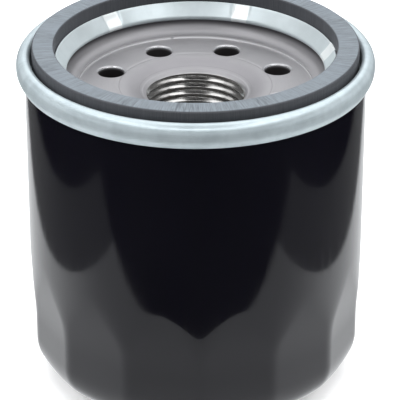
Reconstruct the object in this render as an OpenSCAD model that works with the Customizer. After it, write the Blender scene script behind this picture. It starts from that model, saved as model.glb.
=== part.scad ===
// Spin-on engine oil filter with a fluted can, a double-seamed cover and a bypass valve.
// It stands on its closed end: the origin is the centre of the standing face, and +Z points
// out of the threaded hole. Units are millimetres.

/* [Can] */
// Outer diameter of the can's round wall
can_d = 64.84; // [64.6:0.02:65.0]
// Thickness of the can's drawn steel sheet
can_t = 0.4; // [0.36:0.02:0.42]
// Height from the standing face to the gasket's sealing face
total_h = 68.5; // [64:0.5:90]
// Number of wrench flutes round the closed end
flutes = 14; // [12:1:16]
// Distance from the axis to a flute's flat
flute_r = 31.4; // [31.3:0.05:31.6]
// Height where the flutes reach their full depth
flute_full_z = 13; // [12:0.5:15]
// Height where the flutes fade out into the round wall
flute_top_z = 29; // [26:0.5:34]

/* [Seam and cover] */
// Outer radius of the rolled seam
seam_r = 34.0; // [33.9:0.05:34.2]
// Thickness of the cover's galvanised sheet
cover_t = 0.4; // [0.36:0.02:0.42]
// How far the seam's top lies below the sealing face
seam_drop = 1.55; // [1.5:0.05:2.6]
// Number of crimps that hold the gasket
crimps = 6; // [4:1:8]

/* [Gasket] */
// Outer diameter of the gasket
gasket_od = 62; // [61.6:0.1:62.2]
// Inner diameter of the gasket's sealing face
gasket_id = 53.6; // [53.6:0.1:55]

/* [Base plate] */
// Minor diameter of the M20 x 1.5 thread
thread_d = 18.38; // [17.4:0.02:18.6]
// Thickness of the pressed plate
plate_t = 2.6; // [2.2:0.1:2.8]
// Number of oil inlet holes
inlets = 8; // [6:1:9]
// Diameter of an inlet hole
inlet_d = 5; // [4:0.1:5.4]
// Pitch circle diameter of the inlet holes
inlet_pcd = 34.7; // [34:0.1:35.4]
// Depth of the plate's middle below the sealing face
plate_drop = 8.75; // [8.6:0.05:9]
// Length of the tapped hub below the sealing face
hub_drop = 18.2; // [17.6:0.1:18.4]

/* [Filter element] */
// Outer diameter of the element's end caps
element_d = 55; // [54.6:0.1:56]
// Number of paper pleats
pleats = 44; // [36:1:46]
// Thickness of the filter paper
paper_t = 0.5; // [0.4:0.05:0.5]
// Height of the element's underside above the standing face
element_z = 8; // [8:0.1:9]

/* [Bypass valve] */
// Radius of the valve seat's lip
seat_r = 4.8; // [4.6:0.1:5]
// Height of the valve cage above the end cap
cage_h = 13.6; // [12.6:0.1:14.6]
// Coils in the bypass spring
bypass_turns = 5; // [4:1:6]

/* [Element spring] */
// Wire diameter of the conical spring under the element
wire_d = 1.4; // [1.2:0.1:1.5]
// Coils in the conical spring
cone_turns = 2.75; // [2.25:0.25:2.75]

/* [Hidden] */
$fn = 120;

can_r = can_d / 2;
rib_r = flute_r / cos(180 / flutes) - 0.1; // radius of the narrow ribs between two flats
rib_reach = 1.5;                         // how far the ribs' taper runs past the flats' taper
corner_r = 8;                            // corner between the wall and the closed end
end_r = 15;                              // shallower curve that runs in to the standing face
corner_turn = 60;                        // angle at which the two curves join
floor_r = rib_r - corner_r * (1 - cos(corner_turn)) - end_r * cos(corner_turn);
corner_z = end_r * (1 - sin(corner_turn)) + corner_r * sin(corner_turn);
dimple_r = 14;                           // dimple in the closed end, which centres the spring
dimple_h = 1;

seam_top = total_h - seam_drop;
bead_h = 4.77;                           // height of the rolled seam
bead_z = seam_top - bead_h / 2;
bead_in = 31.66;                         // centre of the bead's rounded section
bead_power = 2.45;                       // 2 is an ellipse, and more is squarer
chuck_r = 31.6;                          // middle of the cover's wall beside the gasket
hook_r = can_r + 0.24;                   // middle of the cover's hook
hook_z = seam_top - 1.75;                // top of the cover's hook
groove_z = total_h - 5.55;               // floor of the gasket's groove
lip_lean = 38.1;                         // how far the gasket's retaining lip leans outwards
lip_base_r = 25.15;
lip_bend = 0.45;
lip_len = 2.75;

plate_z = total_h - plate_drop;          // top of the plate's middle
plate_under = plate_z - plate_t;
rim_z = groove_z - cover_t;              // top of the plate's rim, under the cover
rim_r = 31.5;
hub_z = total_h - hub_drop;
hub_r = 12;
well_r = 25.1;                           // wall of the plate's dished middle
well_fillet = 2.6;
thread_mouth = 10.05;                    // widest point of the thread's chamfer
shoulder_r = 14.56;                      // where the plate begins to curve down into the hub
shoulder_drop = 1.25;
weld_ring_r = 28.3;
weld_r = 1.4;
first_inlet = 90 + 69.45;                // angle of the first inlet hole

cap_t = 0.4;
cap_top = hub_z - 1.3;                   // top of the element, under the rubber valve
cap_r = element_d / 2 - cap_t / 2;
cap_skirt = 3.2;
tube_r = 11.2;
tube_t = 0.4;
glue_t = 2;
paper_in = 11.4;
paper_out = element_d / 2 - 0.9;
paper_bottom = element_z + cap_t + glue_t;
paper_top = cap_top - cap_t - glue_t;
fold_half = 0.55;                        // half the width of a pleat's outer fold

seat_z = element_z + 1.5;                // underside of the valve seat's flange
seat_t = 0.5;
seat_lip_z = seat_z + 1.4;
cage_z = seat_z + seat_t;
cage_r = 7.8;
cage_top = cage_z + cage_h - 1.8;
poppet_z = seat_lip_z + 0.8;
poppet_t = 0.8;
stem_r = 1.62;

// Points along an arc about (x, y)
function arc(x, y, r, from, to, n = 6) =
    [for (i = [0:n]) let (a = from + (to - from) * i / n) [x + r * cos(a), y + r * sin(a)]];

// A point of a rounded-square curve at angle a
function round_point(x, y, rx, ry, p, a) =
    [x + rx * sign(cos(a)) * pow(abs(cos(a)), 2 / p), y + ry * sign(sin(a)) * pow(abs(sin(a)), 2 / p)];

function unit(v) = v / norm(v);

// How far a path's corner moves sideways when the path is offset by d
function corner_shift(p, i, d) =
    let (a = unit(p[min(i + 1, len(p) - 1)] - p[min(i, len(p) - 2)]),
         b = unit(p[max(i, 1)] - p[max(i - 1, 0)]),
         n = unit([-a[1] - b[1], a[0] + b[0]]),
         side = [-b[1], b[0]])
    n * d / (n * side);

// Outline of a sheet of thickness t that follows the path p
function sheet_outline(p, t) = concat(
    [for (i = [0:len(p) - 1]) p[i] + corner_shift(p, i, t / 2)],
    [for (i = [len(p) - 1:-1:0]) p[i] + corner_shift(p, i, -t / 2)]);

module turned(points) { rotate_extrude() polygon(points); }

module turned_sheet(path, t) { turned(sheet_outline(path, t)); }

// Smooth fall from 0 to 1
function ease(x) = let (s = min(max(x, 0), 1)) s * s * (3 - 2 * s);

// ---- can ----

// Outline of the can's outside, drawn in by the inset
function can_side(inset) = concat(
    [[0, dimple_h + inset], [dimple_r - 1 - inset / 2, dimple_h + inset]],
    [[dimple_r + 1 - inset / 2, inset]],
    arc(floor_r, end_r, end_r - inset, -90, -corner_turn, 5),
    arc(rib_r - corner_r, corner_z, corner_r - inset, -corner_turn, 0, 8),
    [[rib_r - inset, flute_full_z - rib_reach], [can_r - inset, flute_top_z + rib_reach]]);

// One flat, which starts just outside the wall and cuts deeper towards the closed end
module flute_cutter(inset) {
    steps = 4;
    start = can_r + 0.1;
    fade = [for (i = [0:steps])
        [start - (start - flute_r) * ease(i / steps) - inset,
         flute_top_z + (flute_full_z - flute_top_z) * i / steps]];
    rotate([90, 0, 0]) linear_extrude(height = 16, center = true)
        polygon(concat(fade, [[flute_r - inset, -1], [can_r + 4, -1], [can_r + 4, flute_top_z]]));
}

module fluted_solid(inset, top) {
    difference() {
        turned(concat(can_side(inset), [[can_r - inset, top], [0, top]]));
        for (i = [0:flutes - 1])
            rotate([0, 0, -90 + 1.5 + (i + 0.5) * 360 / flutes]) flute_cutter(inset);
    }
}

// The can's rim turns out and hooks down into the seam
module rim_hook() {
    wall = can_r - can_t / 2;
    turn_z = seam_top - 1.39;
    turned_sheet(concat([[wall, turn_z - 1]],
                        arc(wall + 0.44, turn_z, 0.44, 180, 0, 8),
                        [[wall + 0.88, seam_top - 3.6]]), can_t);
}

module can() {
    wall_top = seam_top - 2;
    color("#0c0c10") union() {
        difference() {
            fluted_solid(0, wall_top);
            fluted_solid(can_t, wall_top + 1);
        }
        rim_hook();
    }
}

// ---- seam and cover ----

// Middle line of the cover, from its hook round the bead to the gasket's retaining lip
function cover_path() =
    let (rx = seam_r - bead_in - cover_t / 2, ry = bead_h / 2 - cover_t / 2,
         turn = arc(hook_r + 0.25, bead_z - 1.93, 0.25, -180, -15, 6),
         bead = [for (i = [0:16]) round_point(bead_in, bead_z, rx, ry, bead_power, -44 + i * 119 / 16)],
         tip = bead[len(bead) - 1],
         over = arc(chuck_r + 0.75, tip[1] - 0.75, 0.75, 95, 180, 5),
         floor_z = groove_z - cover_t / 2,
         corner = arc(chuck_r - 0.5, floor_z + 0.5, 0.5, 0, -90, 4),
         bend = arc(lip_base_r, floor_z + lip_bend, lip_bend, -90, -180 - lip_lean, 6),
         foot = bend[len(bend) - 1],
         lip = foot + lip_len * [sin(lip_lean), cos(lip_lean)])
    concat([[hook_r, hook_z]], turn, bead, over, corner, bend, [lip]);

module weld_spots(bottom, top) {
    for (i = [0:7])
        rotate([0, 0, i * 45 + 11]) translate([weld_ring_r, 0, bottom])
            cylinder(r = weld_r, h = top - bottom, $fn = 32);
}

// A crimp presses the lip's top edge a little further over the gasket's foot
module crimp() {
    tilt = lip_lean + 5;
    run = 2.2;
    top = [26.46, groove_z + 2.69];
    path = [top - run * [sin(tilt), cos(tilt)], top];
    rotate([0, 0, -3.5]) rotate_extrude(angle = 7) polygon(sheet_outline(path, cover_t));
}

module seam_cover() {
    color("#c3d0d4") difference() {
        union() {
            turned_sheet(cover_path(), cover_t);
            for (i = [0:crimps - 1])
                rotate([0, 0, 12 + i * 360 / crimps]) crimp();
        }
        weld_spots(rim_z - 0.3, rim_z + 0.25);
    }
}

// Film of sealing compound between the cover's wall and the can's wall
module seam_sealant() {
    inner = chuck_r + cover_t / 2 + 0.02;
    outer = can_r - can_t - 0.02;
    color("#7d8c6a") turned([[inner, seam_top - 3.2], [outer, seam_top - 3.2],
                             [outer, seam_top - 1.4], [inner, seam_top - 1.4]]);
}

// Weld nuggets that join the cover's groove to the base plate's rim
module cover_welds() {
    color("#8b8f95") weld_spots(rim_z - 0.3, rim_z + 0.25);
}

// ---- base plate ----

function plate_outline() =
    let (mouth_z = plate_z - shoulder_drop,
         curve = (pow(shoulder_r - thread_mouth, 2) + pow(shoulder_drop, 2)) / (2 * shoulder_drop),
         turn = asin((shoulder_r - thread_mouth) / curve),
         ledge_z = rim_z + 0.2 - well_fillet)
    concat([[thread_d / 2, hub_z], [thread_d / 2, mouth_z - 0.75]],
           arc(shoulder_r, plate_z - curve, curve, 90 + turn, 90, 6),
           [[well_r - well_fillet - 0.15, plate_z]],
           arc(well_r - well_fillet, rim_z + 0.2, well_fillet, -90, -4.4, 8),
           [[rim_r, rim_z], [rim_r, rim_z - plate_t]],
           arc(22.7, plate_under + 5.2, 5.2, -27.5, -90, 6),
           arc(hub_r + 1, plate_under - 1, 1, 90, 180, 4),
           [[hub_r, hub_z + 0.4], [hub_r - 0.4, hub_z]]);

module inlet_hole() {
    translate([inlet_pcd / 2, 0, plate_under - 1]) cylinder(d = inlet_d, h = plate_t + 2);
    translate([inlet_pcd / 2, 0, plate_z - 0.25]) cylinder(r1 = inlet_d / 2, r2 = inlet_d / 2 + 0.5, h = 0.5);
}

module base_plate() {
    color("#a9a5aa") difference() {
        turned(plate_outline());
        for (i = [0:inlets - 1])
            rotate([0, 0, first_inlet - i * 360 / inlets]) inlet_hole();
        weld_spots(rim_z - 0.3, rim_z + 0.25);
    }
}

// ---- rubber parts ----

// The gasket's foot reaches in under the leaning lip, which holds it in its groove
module gasket() {
    out = gasket_od / 2;
    in = gasket_id / 2;
    base = groove_z + 0.02;
    soft = 0.25;
    color("#33363b") turned(concat(
        [[lip_base_r + 0.2, base], [out - soft, base], [out, base + soft]],
        arc(out - soft, total_h - soft, soft, 0, 90, 3),
        arc(in + soft, total_h - soft, soft, 90, 180, 3),
        [[in, groove_z + 2.65], [lip_base_r + 0.2, groove_z + 0.7]]));
}

// A collar grips the hub, and a flap reaches up past the inlet holes to the plate's underside
module drainback_valve() {
    flange = cap_top + 0.02;
    lip = plate_under - 0.03;
    color("#5a2418") turned([
        [9.9, flange], [14.3, flange], [14.6, flange + 3], [23, lip - 1.1], [24, lip - 0.3], [24, lip],
        [22.6, lip], [14.8, lip - 3.4], [13.8, lip - 2.8], [hub_r + 0.05, lip - 2.8],
        [hub_r + 0.05, hub_z - 0.02], [9.9, hub_z - 0.02]]);
}

// ---- filter element ----

module top_end_cap() {
    z = cap_top - cap_t / 2;
    neck = tube_r - tube_t - 0.05 - cap_t / 2;
    color("#b9bcc0") turned_sheet(concat(
        [[neck, z - cap_skirt]], arc(neck + 0.5, z - 0.5, 0.5, 180, 90, 4),
        arc(cap_r - 0.5, z - 0.5, 0.5, 90, 0, 4), [[cap_r, z - cap_skirt]]), cap_t);
}

module bottom_end_cap() {
    z = element_z + cap_t / 2;
    seat = seat_z - cap_t / 2;
    color("#b9bcc0") turned_sheet(concat(
        [[7.3, seat], [9.4, seat], [10.1, z]],
        arc(cap_r - 0.5, z + 0.5, 0.5, -90, 0, 4), [[cap_r, z + cap_skirt]]), cap_t);
}

module adhesive(z) {
    inner = tube_r + 0.05;
    outer = element_d / 2 - cap_t - 0.05;
    soft = 0.35;
    color("#b8552e") turned([
        [inner, z], [outer - soft, z], [outer, z + soft], [outer, z + glue_t - soft],
        [outer - soft, z + glue_t], [inner, z + glue_t]]);
}

module top_adhesive() { adhesive(cap_top - cap_t - glue_t); }

module bottom_adhesive() { adhesive(element_z + cap_t); }

// A point at radius r, moved sideways by s from the pleat at angle a
function pleat_point(a, r, s) = [r * cos(a) - s * sin(a), r * sin(a) + s * cos(a)];

// Outline of the folded paper's outer or inner face: it runs in, round the inner fold and out
function paper_face(side) =
    let (half = 180 / pleats, h = paper_t / 2, inner = paper_in * sin(half) - 0.42)
    [for (i = [0:pleats - 1]) let (a = i * 2 * half)
        for (p = [pleat_point(a, paper_in + h + side * h, -inner - side * h),
                  pleat_point(a, paper_out - h + side * h, -fold_half - side * h),
                  pleat_point(a, paper_out - h + side * h, fold_half + side * h),
                  pleat_point(a, paper_in + h + side * h, inner + side * h)]) p];

module pleated_paper() {
    height = paper_top - paper_bottom;
    color("#d9b26a") translate([0, 0, paper_bottom]) difference() {
        linear_extrude(height = height) polygon(paper_face(1));
        translate([0, 0, -1]) linear_extrude(height = height + 2) polygon(paper_face(-1));
    }
}

// Folded metal strip that joins the two ends of the paper
module pleat_clip() {
    gap = fold_half + paper_t / 2 + 0.05;
    t = 0.25;
    color("#c8c9cc") translate([0, 0, paper_bottom + 1]) linear_extrude(height = paper_top - paper_bottom - 2)
        polygon([[paper_out - 2.4, gap], [paper_out + 0.05, gap], [paper_out + 0.05, -gap],
                 [paper_out - 2.4, -gap], [paper_out - 2.4, -gap - t], [paper_out + 0.05 + t, -gap - t],
                 [paper_out + 0.05 + t, gap + t], [paper_out - 2.4, gap + t]]);
}

module centre_tube() {
    rows = 7;
    columns = 8;
    hole_r = 1.6;
    bottom = element_z + cap_t + 0.1;
    top = cap_top - cap_t - 0.25;
    step = (top - bottom - 10) / (rows - 1);
    color("#a7a9ad") difference() {
        translate([0, 0, bottom]) cylinder(r = tube_r, h = top - bottom);
        translate([0, 0, bottom - 1]) cylinder(r = tube_r - tube_t, h = top - bottom + 2);
        for (row = [0:rows - 1])
            for (column = [0:columns / 2 - 1])
                translate([0, 0, bottom + 5 + row * step])
                    rotate([90, 0, (column + (row % 2) / 2) * 360 / columns])
                        cylinder(r = hole_r, h = 2 * tube_r + 2, center = true, $fn = 24);
    }
}

// ---- bypass valve ----

module bypass_seat() {
    z = seat_z + seat_t / 2;
    color("#c5a55a") turned_sheet(concat(
        [[seat_r, seat_lip_z]], arc(seat_r + 0.5, z + 0.5, 0.5, 180, 270, 4), [[9.3, z]]), seat_t);
}

module bypass_cage() {
    z = cage_z + cap_t / 2;
    windows = 4;
    color("#b4b6ba") difference() {
        turned_sheet(concat(
            [[9.3, z]], arc(cage_r + 0.5, z + 0.5, 0.5, -90, -180, 4),
            arc(cage_r - 0.5, cage_top - 0.5, 0.5, 0, 90, 4),
            arc(2.4, cage_top - 0.5, 0.5, 90, 180, 4), [[1.9, cage_top - 1.6]]), cap_t);
        for (i = [0:windows - 1])
            rotate([0, 0, 45 + i * 360 / windows]) translate([3.5, -3.4, cage_z + 1.6])
                cube([cage_r, 6.8, cage_top - cage_z - 4]);
    }
}

module bypass_poppet() {
    boss = 3.1;
    top = cage_top + 2.4;
    back = poppet_z + poppet_t;
    color("#e8e4d8") turned([
        [0, poppet_z - 0.5], [boss, poppet_z - 0.5], [boss, poppet_z], [6.6, poppet_z], [6.6, back],
        [3.5, back], [3.1, back + 1], [stem_r, back + 1.5], [stem_r, top - 0.4], [stem_r - 0.4, top],
        [0, top]]);
}

module bypass_seal() {
    color("#2b2b2e") turned([[3.15, seat_lip_z + 0.02], [6.4, seat_lip_z + 0.02],
                             [6.4, poppet_z - 0.01], [3.15, poppet_z - 0.01]]);
}

// ---- springs ----

// Point of a coil at u turns, with a flat stretch of wire at each end
function coil_point(u, turns, r0, r1, z0, z1, flat) =
    let (s = u / turns, r = r0 + (r1 - r0) * s, rise = ease_line((u - flat) / (turns - 2 * flat)))
    [r * cos(360 * u), r * sin(360 * u), z0 + (z1 - z0) * rise];

// A straight rise from 0 to 1, level before and after it
function ease_line(x) = min(max(x, 0), 1);

// Ring of points round p, square to the direction d
function wire_ring(p, d, r, sides) =
    let (out = unit(cross(d, [0, 0, 1])), up = cross(out, d))
    [for (k = [0:sides - 1]) p + r * (cos(360 * k / sides) * out + sin(360 * k / sides) * up)];

module wire(path, r, sides = 8) {
    n = len(path);
    rings = [for (i = [0:n - 1])
        wire_ring(path[i], unit(path[min(i + 1, n - 1)] - path[max(i - 1, 0)]), r, sides)];
    points = [for (ring = rings) for (p = ring) p];
    sleeve = [for (i = [0:n - 2]) for (k = [0:sides - 1]) let (m = (k + 1) % sides)
        [i * sides + k, i * sides + m, (i + 1) * sides + m, (i + 1) * sides + k]];
    ends = [[for (k = [sides - 1:-1:0]) k], [for (k = [0:sides - 1]) (n - 1) * sides + k]];
    polyhedron(points, concat(sleeve, ends));
}

module bypass_spring() {
    wire_r = 0.4;
    low = poppet_z + poppet_t + wire_r + 0.02;
    high = cage_top - cap_t / 2 - wire_r - 0.02;
    steps = 16 * bypass_turns;
    path = [for (i = [0:steps])
        coil_point(bypass_turns * i / steps, bypass_turns, 4.6, 4.6, low, high, 0)];
    color("#9a9da3") wire(path, wire_r);
}

module element_spring() {
    low = can_t + wire_d / 2 + 0.02;
    high = element_z - wire_d / 2 - 0.02;
    steps = 24 * cone_turns;
    path = [for (i = [0:steps])
        coil_point(cone_turns * i / steps, cone_turns, 16, 12, low, high, 0.5)];
    color("#8e9298") wire(path, wire_d / 2);
}

can();
seam_cover();
seam_sealant();
base_plate();
cover_welds();
gasket();
drainback_valve();
top_end_cap();
top_adhesive();
pleated_paper();
pleat_clip();
centre_tube();
bottom_adhesive();
bottom_end_cap();
bypass_seat();
bypass_cage();
bypass_poppet();
bypass_seal();
bypass_spring();
element_spring();
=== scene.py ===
import math

import bmesh
import bpy
import numpy as np
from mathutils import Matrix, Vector


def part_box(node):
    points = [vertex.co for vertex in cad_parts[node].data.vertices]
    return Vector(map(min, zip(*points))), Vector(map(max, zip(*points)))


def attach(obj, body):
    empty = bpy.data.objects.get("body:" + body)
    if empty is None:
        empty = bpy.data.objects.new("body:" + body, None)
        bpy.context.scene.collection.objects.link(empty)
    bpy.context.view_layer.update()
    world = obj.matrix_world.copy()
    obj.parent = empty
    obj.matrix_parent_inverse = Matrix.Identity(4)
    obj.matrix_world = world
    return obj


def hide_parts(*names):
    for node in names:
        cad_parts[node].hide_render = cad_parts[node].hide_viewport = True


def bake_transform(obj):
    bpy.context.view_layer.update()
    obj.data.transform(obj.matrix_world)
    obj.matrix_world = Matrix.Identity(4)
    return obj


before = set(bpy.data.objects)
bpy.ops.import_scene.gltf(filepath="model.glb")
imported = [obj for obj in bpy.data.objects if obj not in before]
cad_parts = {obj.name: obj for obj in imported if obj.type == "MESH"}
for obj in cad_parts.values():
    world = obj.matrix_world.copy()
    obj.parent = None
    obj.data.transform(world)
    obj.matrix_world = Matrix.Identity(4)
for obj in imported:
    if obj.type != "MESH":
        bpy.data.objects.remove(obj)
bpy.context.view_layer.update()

# Every length below is in millimetres until a mesh is made. The CAD frame stands on its closed
# end, with +Z out of the threaded hole.
MM = 0.001
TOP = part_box("gasket")[1].z / MM              # the gasket's sealing face
CAN_R = 32.42                                 # the can's round wall
SHEET = 0.4                                   # thickness of the can's and the cover's sheet
FLUTES = 14
FIRST_RIB = math.radians(1.5 - 90)            # a rib lies just right of the front
SEAM_TOP = TOP - 1.55
GROOVE_Z = TOP - 5.55                         # floor of the gasket's groove
PLATE_Z = TOP - 8.75                          # top of the base plate's middle
RIM_Z = GROOVE_Z - SHEET                      # top of the base plate's rim
HUB_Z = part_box("base_plate")[0].z / MM        # lower end of the tapped hub
PITCH = 1.5
THREAD_MINOR = 9.19
THREAD_DEPTH = 0.62
CAP_TOP = HUB_Z - 1.3                         # top of the filter element
ELEMENT_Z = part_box("bottom_end_cap")[0].z / MM
TUBE_R = 11.2
PLEATS = 44
INLET_R, INLET_CIRCLE_R, INLETS = 2.5, 17.35, 8
SHOULDER_R = 14.56                            # the plate falls from here to the thread
STEP_R = 22.33                                # edge of the step round the plate's middle, where a thin highlight is painted
LIP_R = 27.2                                  # the cover's lip lies inside this
CRIMP_STEP = math.tau / 6                     # the lip has six crimps
CRIMP_AT, CRIMP_HALF = math.radians(9.7), math.radians(4.1)   # the first one, and half its width
SEAT_Z = ELEMENT_Z + 1.5                      # underside of the bypass seat's flange
CAGE_Z = SEAT_Z + 0.5                         # underside of the bypass cage, on that flange
CAGE_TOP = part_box("bypass_cage")[1].z / MM - 0.2      # middle of its top sheet
POPPET_Z, POPPET_TOP = (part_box("bypass_poppet")[k].z / MM for k in (0, 1))
POPPET_PLATE_Z = POPPET_Z + 0.5               # underside of the plate that closes the valve

rng = np.random.default_rng(7)


# ---------------------------------------------------------------- outlines

def arc(x, y, radius, start, end, steps=8):
    """Points along an arc about (x, y), from one angle in degrees to another."""
    angles = np.radians(np.linspace(start, end, steps + 1))
    return [(x + radius * math.cos(a), y + radius * math.sin(a)) for a in angles]


def line(a, b, step):
    """Points from a to b, about a step apart, with both ends."""
    count = max(1, round(math.dist(a, b) / step))
    return [tuple(p) for p in np.linspace(a, b, count + 1)]


def rounded(points, radius=0.0, closed=True, steps=5):
    """The outline with its corners rounded. A point's third number is a radius of its own."""
    out = []
    for i, point in enumerate(points):
        here = np.array(point[:2], float)
        bend = point[2] if len(point) > 2 else radius
        end = not closed and i in (0, len(points) - 1)
        before = np.array(points[i - 1][:2], float) - here
        after = np.array(points[(i + 1) % len(points)][:2], float) - here
        long = min(np.linalg.norm(before), np.linalg.norm(after))
        before, after = before / np.linalg.norm(before), after / np.linalg.norm(after)
        half = math.acos(float(np.clip(before @ after, -1, 1))) / 2
        if end or bend <= 0 or half > math.radians(89.5):
            out.append(tuple(here))
            continue
        cut = min(bend / math.tan(half), 0.49 * long)
        bend = cut * math.tan(half)
        middle = before + after
        centre = here + middle / np.linalg.norm(middle) * bend / math.sin(half)
        first, last = here + before * cut - centre, here + after * cut - centre
        start = math.atan2(first[1], first[0])
        sweep = (math.atan2(last[1], last[0]) - start + math.pi) % math.tau - math.pi
        for k in range(steps + 1):
            angle = start + sweep * k / steps
            out.append((centre[0] + bend * math.cos(angle), centre[1] + bend * math.sin(angle)))
    return out


def sideways(path):
    """Unit normals of a path, lengthened at its corners so that an offset keeps its width."""
    path = np.array(path, float)
    steps = np.diff(path, axis=0)
    steps /= np.linalg.norm(steps, axis=1)[:, None]
    before = np.vstack([steps[:1], steps])
    after = np.vstack([steps, steps[-1:]])
    normal = np.stack([-(before + after)[:, 1], (before + after)[:, 0]], axis=1)
    normal /= np.linalg.norm(normal, axis=1)[:, None]
    side = np.stack([-before[:, 1], before[:, 0]], axis=1)
    return normal / np.maximum((normal * side).sum(axis=1), 0.3)[:, None]


def sheet(path, thickness, round_start=True):
    """Closed outline of a sheet that follows the path, with rounded edges."""
    points, normals = np.array(path, float), sideways(path)
    half = thickness / 2
    left, right = points + normals * half, points - normals * half

    def end(at, beyond, start):
        way = (at - beyond) / np.linalg.norm(at - beyond)
        side = np.array([-way[1], way[0]]) * start
        turns = np.radians([60, 30, 0, -30, -60])
        return [tuple(at + half * (math.cos(t) * way + math.sin(t) * side)) for t in turns]

    outline = [tuple(p) for p in left] + end(points[-1], points[-2], 1)
    outline += [tuple(p) for p in right[::-1]]
    return outline + (end(points[0], points[1], 1) if round_start else [])


def ease(x):
    """Smooth rise from 0 to 1."""
    x = np.clip(x, 0, 1)
    return x * x * (3 - 2 * x)


# ---------------------------------------------------------------- meshes

def smooth_normals(mesh, angle):
    mesh.polygons.foreach_set("use_smooth", [True] * len(mesh.polygons))
    mesh.set_sharp_from_angle(angle=math.radians(angle))


def piece(name, vertices, faces, material, body, node=None, slot=None, sharp=40, merge=1e-4):
    """A mesh piece from points in millimetres. It rides on a body and stands for a CAD node."""
    mesh = bpy.data.meshes.new(name)
    mesh.from_pydata((np.array(vertices) * MM).tolist(), [], faces)
    work = bmesh.new()
    work.from_mesh(mesh)
    bmesh.ops.remove_doubles(work, verts=work.verts, dist=merge * MM)
    bmesh.ops.recalc_face_normals(work, faces=work.faces)
    work.to_mesh(mesh)
    work.free()
    smooth_normals(mesh, sharp)
    mesh.materials.append(material)
    thing = bpy.data.objects.new(name, mesh)
    bpy.context.scene.collection.objects.link(thing)
    if body:
        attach(thing, body)
    if node:
        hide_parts(node)
    return thing


def lathe(outline, columns, shape=None):
    """Points and faces of a closed outline turned about Z. shape may move each ring of points."""
    rows = len(outline)
    angles = np.arange(columns) * math.tau / columns
    r, z = (np.array([p[k] for p in outline], float)[None, :].repeat(columns, 0) for k in (0, 1))
    turn = angles[:, None].repeat(rows, 1)
    if shape:
        r, z = shape(turn, r, z)
    points = np.stack([r * np.cos(turn), r * np.sin(turn), z], axis=2).reshape(-1, 3)
    faces = []
    for c in range(columns):
        d = (c + 1) % columns
        for i in range(rows):
            j = (i + 1) % rows
            faces.append((c * rows + i, d * rows + i, d * rows + j, c * rows + j))
    return points, faces


def turned_piece(name, outline, material, body, node=None, slot=None, columns=192, shape=None,
                 **options):
    points, faces = lathe(outline, columns, shape)
    return piece(name, points, faces, material, body, node, slot, **options)


def apply_modifiers(thing):
    """Bakes a piece's modifiers into its mesh."""
    graph = bpy.context.evaluated_depsgraph_get()
    made = bpy.data.meshes.new_from_object(thing.evaluated_get(graph))
    thing.modifiers.clear()
    thing.data = made


def tube(path, radius, sides=16):
    """Points and faces of a round wire along a path, closed at both ends."""
    path = np.array(path, float)
    ahead = np.gradient(path, axis=0)
    ahead /= np.linalg.norm(ahead, axis=1)[:, None]
    out = np.cross(ahead, [0, 0, 1])
    out /= np.linalg.norm(out, axis=1)[:, None]
    up = np.cross(out, ahead)
    turns = np.arange(sides) * math.tau / sides
    rings = [p + radius * (np.outer(np.cos(turns), o) + np.outer(np.sin(turns), u))
             for p, o, u in zip(path, out, up)]
    count = len(path)
    faces = [(i * sides + k, i * sides + (k + 1) % sides,
              (i + 1) * sides + (k + 1) % sides, (i + 1) * sides + k)
             for i in range(count - 1) for k in range(sides)]
    faces += [tuple(range(sides))[::-1], tuple((count - 1) * sides + k for k in range(sides))]
    return np.vstack(rings), faces


# ---------------------------------------------------------------- material nodes

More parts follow.
